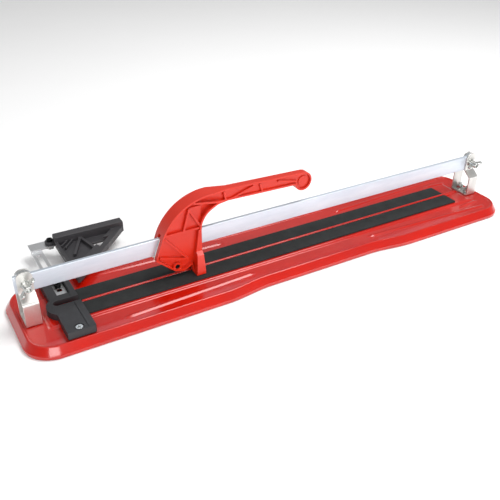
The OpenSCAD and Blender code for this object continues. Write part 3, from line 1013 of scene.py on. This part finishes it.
    def rail_bolts(self, palette: Palette) -> None:
        """Fits the cross bolts that squeeze the straps on the rail.

        Args:
            palette: The finishes.
        """
        low, high = cad_box("rail_bolts")
        ring_low, ring_high = cad_box("rail_bolt_washers")
        x = ring_high.x - self.ring_radius
        level = (ring_low.z + ring_high.z) / 2
        neck = high.y - self.cross_head
        shank = aim(self.thread("shank", self.shank, neck - low.y), Way.BACK, (0, low.y, level))
        head = aim(self.hexagon("head", self.cross_head), Way.BACK, (0, neck, level))
        bolt = join("rail_bolt", [shank, head])
        ring = aim(self.washer("ring", ring_high.y - ring_low.y), Way.BACK, (0, ring_low.y, level))
        for pattern, name, node in ((bolt, "cross_bolts", "rail_bolts"),
                                    (ring, "cross_washers", "rail_bolt_washers")):
            pair = [copy_to(pattern, Vector((side * x, 0, 0))) for side in (-1, 1)]
            bpy.data.objects.remove(pattern)
            hand_over(join(name, pair), "base", "zinc_fasteners", palette.zinc_bright, node)

    def wing_nut(self, node: str, turn: float, palette: Palette) -> None:
        """Forges one wing nut.

        Args:
            node: The CAD node it stands for.
            turn: The angle of its wings, in degrees.
            palette: The finishes.
        """
        low, high = cad_box(node)
        bracket_low, bracket_high = cad_box(node.replace("wing_nut", "bracket"))
        ring_low, ring_high = cad_box("rail_bolt_washers")
        depth = high.y - low.y
        hub = lathe("hub", rounded([(self.nut_bore, 0, 0.2), (5.2, 0, 0.4), (5.1, 4.0, 1.0),
                                    (4.2, depth, 0.8), (self.nut_bore, depth, 0.2)], closed=True, steps=4))
        shape = rounded([(3.6, 1.6, 0.6), (8.0, 2.2, 3.0), (14.4, 5.6, 1.2), (14.0, 11.0, 3.2),
                         (9.0, 10.6, 2.4), (3.6, 6.4, 1.5)], closed=True)
        wings = []
        for side in (-1, 1):
            wing = prism("wing", [(side * a, b * depth / self.wing_height) for a, b in shape],
                         self.wing_sheet)
            soften(wing, self.wing_edge, 3)
            wing.data.transform(Matrix.Rotation(math.pi / 2, 4, "X")
                                @ Matrix.Translation((0, 0, -self.wing_sheet / 2)))
            wings.append(wing)
        nut = join(node + "_forged", [hub, *wings])
        nut.data.transform(Matrix.Rotation(math.radians(turn), 4, "Z"))
        aim(nut, Way.FRONT, ((bracket_low.x + bracket_high.x) / 2, high.y, (ring_low.z + ring_high.z) / 2))
        hand_over(nut, node, "zinc_fasteners", palette.zinc_bright, node)


# ------------------------------------------------------------------ rail and brackets


@dataclass
class RailAndBrackets:
    """The drawn bar and the two bent straps that hold it."""

    strap: float = 2.0
    fold: float = 4.0
    dome: float = 8.0
    edge: float = 0.3
    # Height of the outer fold, how much lower the inner side folds, and the slack round the rail
    knee: float = 45.0
    inner_drop: float = 0.9
    slack: float = 0.05

    def bracket(self, node: str, palette: Palette) -> None:
        """Bends one strap.

        Args:
            node: The bracket's CAD node.
            palette: The finishes.
        """
        low, high = cad_box(node)
        rail_low, rail_high = cad_box("rail")
        t = self.strap
        top = high.z
        leg = high.y
        grip = rail_high.y + self.slack
        neck = rail_low.z
        half = [(leg, low.z, 2.6), (leg, self.knee, self.fold), (grip + t, neck, self.fold - t),
                (grip + t, top, 0), (grip, top, 0), (grip, neck - self.inner_drop, self.fold),
                (leg - t, self.knee - self.inner_drop, self.fold - t), (leg - t, low.z + t, 0.8)]
        outline = rounded(half + [(-a, b, r) for a, b, r in reversed(half)], closed=True)
        strap = prism(node + "_strap", outline, high.x - low.x)
        # The section stands across the rail: its X becomes Y, its Y becomes Z and its depth becomes X
        strap.data.transform(Matrix(((0, 0, 1, low.x), (1, 0, 0, 0), (0, 1, 0, 0), (0, 0, 0, 1))))
        with editing(strap):
            choose(strap, Pick.EDGES, lambda edge: all(vertex.co.z > top - 0.01 for vertex in edge.verts)
                   and abs(edge.verts[0].co.x - edge.verts[1].co.x) < 0.01)
            bpy.ops.mesh.bevel(offset=self.dome, segments=7, affect="EDGES")
        soften(strap, self.edge)
        hand_over(strap, "base", "zinc_strap", palette.zinc_strip, node, smooth=30)

    def build(self, palette: Palette) -> None:
        """Sets the rail between its brackets.

        Args:
            palette: The finishes.
        """
        for node in ("near_bracket", "far_bracket"):
            self.bracket(node, palette)
        rail = traced("rail", "drawn_rail")
        soften(rail, self.edge)
        hand_over(rail, "base", "zinc_rail", palette.galvanised, "rail", smooth=30)


# ------------------------------------------------------------------ moulded parts and small hardware


@dataclass(frozen=True)
class Traced:
    """A piece whose shape is the CAD node's, finished with rounded edges."""

    node: str
    name: str
    body: str
    slot: str
    finish: str
    edge: float
    segments: int = 2

    def build(self, palette: Palette) -> None:
        """Finishes the piece.

        Args:
            palette: The finishes.
        """
        piece = traced(self.node, self.name)
        soften(piece, self.edge, self.segments)
        hand_over(piece, self.body, self.slot, getattr(palette, self.finish), self.node, smooth=30)


TRACED_PIECES = (
    Traced("handle", "moulded_handle", "handle", "red_plastic", "nylon_red", 0.8, 3),
    Traced("guide_pads", "slot_guide_pads", "handle", "white_nylon", "nylon_white", 0.3),
    Traced("wheel_axle", "wheel_screw", "handle", "black_steel", "black_oxide", 0.2),
    Traced("fence_body", "moulded_fence", "base", "grey_plastic", "abs_grey", 0.6, 3),
    Traced("fence_screws", "fence_screw_pair", "base", "zinc_fasteners", "zinc_bright", 0.2),
    Traced("clamp_washer", "arm_washer", "base", "zinc_fasteners", "zinc_bright", 0.2),
    Traced("clamp_screw", "arm_clamp_screw", "clamp_screw", "black_steel", "black_oxide", 0.3),
    Traced("slide_arm", "slotted_arm", "arm", "zinc_strap", "zinc_arm", 0.25),
    Traced("square_pivot_screw", "square_screw", "arm", "black_steel", "black_oxide", 0.3),
    Traced("angle_square", "moulded_square", "square", "black_plastic", "abs_charcoal", 0.6, 3),
)

KEPT_NODES = {
    "rubber_feet": "foot_rubber", "fence_nuts": "zinc_bright", "clamp_nut": "zinc_bright",
    "square_pivot_nut": "zinc_bright", "top_axle": "ground", "top_inner_ring": "ground",
    "top_roller": "ground", "bottom_axle": "ground", "bottom_inner_ring": "ground",
    "bottom_roller": "ground", "wheel_spacers": "ground", "scoring_wheel": "carbide",
}


def dress_kept(palette: Palette) -> None:
    """Gives every CAD node that stays in view its finish.

    Args:
        palette: The finishes.
    """
    for node, finish in KEPT_NODES.items():
        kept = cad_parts[node]
        kept.data.materials.clear()
        kept.data.materials.append(getattr(palette, finish))
        LOG.info("%s: kept, %s", node, finish)


# ------------------------------------------------------------------ studio


@dataclass
class Studio:
    """Camera, lights and the pale floor."""

    camera_at: tuple[float, float, float] = (-463.2, -684.7, 507.0)
    azimuth: float = -30.89
    elevation: float = 31.42
    roll: float = 0.94
    lens: float = 48.25
    sensor: float = 36.0
    clip: tuple[float, float] = (0.05, 50.0)
    floor_size: float = 40.0
    # Brightness of the sky by height, from the horizon at 0 to straight up at 1
    sky: tuple[Point2, ...] = ((0.0, 0.6), (1.0, 0.2), (0.36, 0.26), (0.45, 0.22), (0.5, 0.7),
                               (0.56, 0.28), (0.63, 0.7), (0.8, 0.2))

    def camera(self) -> None:
        """Sets up the camera that looks along the tool from the near end."""
        data = bpy.data.cameras.new("studio_camera")
        data.lens = self.lens
        data.sensor_width = self.sensor
        data.clip_start, data.clip_end = self.clip
        camera = bpy.data.objects.new("studio_camera", data)
        azimuth, elevation = math.radians(self.azimuth), math.radians(self.elevation)
        back = Vector((math.sin(azimuth) * math.cos(elevation),
                       -math.cos(azimuth) * math.cos(elevation), math.sin(elevation)))
        look = (-back).to_track_quat("-Z", "Y").to_matrix()
        camera.matrix_world = (Matrix.Translation(Vector(self.camera_at) * MM)
                               @ (look @ Matrix.Rotation(math.radians(self.roll), 3, "Z")).to_4x4())
        bpy.context.scene.collection.objects.link(camera)
        bpy.context.scene.camera = camera

    def softbox(self, name: str, at: tuple[float, float, float], size: tuple[float, float],
                power: float) -> None:
        """Hangs one soft light, aimed at the tool.

        Args:
            name: The light's name.
            at: Its place, in metres.
            size: Its width and height, in metres.
            power: Its power, in watts.
        """
        data = bpy.data.lights.new(name, "AREA")
        data.shape = "RECTANGLE"
        data.size, data.size_y = size
        data.energy = power
        light = bpy.data.objects.new(name, data)
        light.location = at
        light.rotation_euler = (-Vector(at)).to_track_quat("-Z", "Y").to_euler()
        bpy.context.scene.collection.objects.link(light)

    def floor(self) -> None:
        """Lays the pale floor."""
        deselect()
        bpy.ops.mesh.primitive_plane_add(size=self.floor_size)
        floor = bpy.context.object
        floor.name = "studio_floor"
        # Painted studio floor: nearly white and matt, with a 40 mm roller texture
        paint = Finish("pale_floor", "#FCFCFC", "#FAFAFA", (0.8, 0.9),
                       patch_mm=400, grain_mm=40, grain_depth_mm=0.01).build()
        floor.data.materials.append(paint)

    def build(self) -> None:
        """Sets up the whole studio."""
        world = bpy.data.worlds.new("studio_world")
        bpy.context.scene.world = world
        world.use_nodes = True
        tree = world.node_tree
        way = add_node(tree, "ShaderNodeTexCoord")
        parts = add_node(tree, "ShaderNodeSeparateXYZ", links={"Vector": way.outputs["Generated"]})
        ramp = add_node(tree, "ShaderNodeValToRGB", links={"Fac": parts.outputs["Z"]})
        stops = ramp.color_ramp.elements
        bands = [stops[0], stops[1], *[stops.new(0.5) for _ in self.sky[2:]]]
        for stop, (height, level) in zip(bands, self.sky):
            stop.position = height
            stop.color = (level, level, level, 1)
        tree.links.new(ramp.outputs["Color"], tree.nodes["Background"].inputs["Color"])
        self.floor()
        self.softbox("top_softbox", (0.6, -0.1, 1.7), (1.3, 0.9), 25)
        self.softbox("front_softbox", (-0.9, -2.0, 1.1), (1.4, 0.8), 26)
        self.softbox("low_strip", (1.0, -2.2, 0.35), (1.6, 0.7), 20)
        self.camera()
        bpy.context.scene.view_settings.view_transform = "Standard"


def main() -> None:
    """Builds every piece and the studio."""
    logging.basicConfig(level=logging.INFO, format="%(message)s")
    palette = Palette()
    PressedTray().build(palette)
    RubberPads().build(palette)
    RailAndBrackets().build(palette)
    Fasteners().build(palette)
    for piece in TRACED_PIECES:
        piece.build(palette)
    dress_kept(palette)
    Studio().build()


if __name__ == "__main__":
    main()
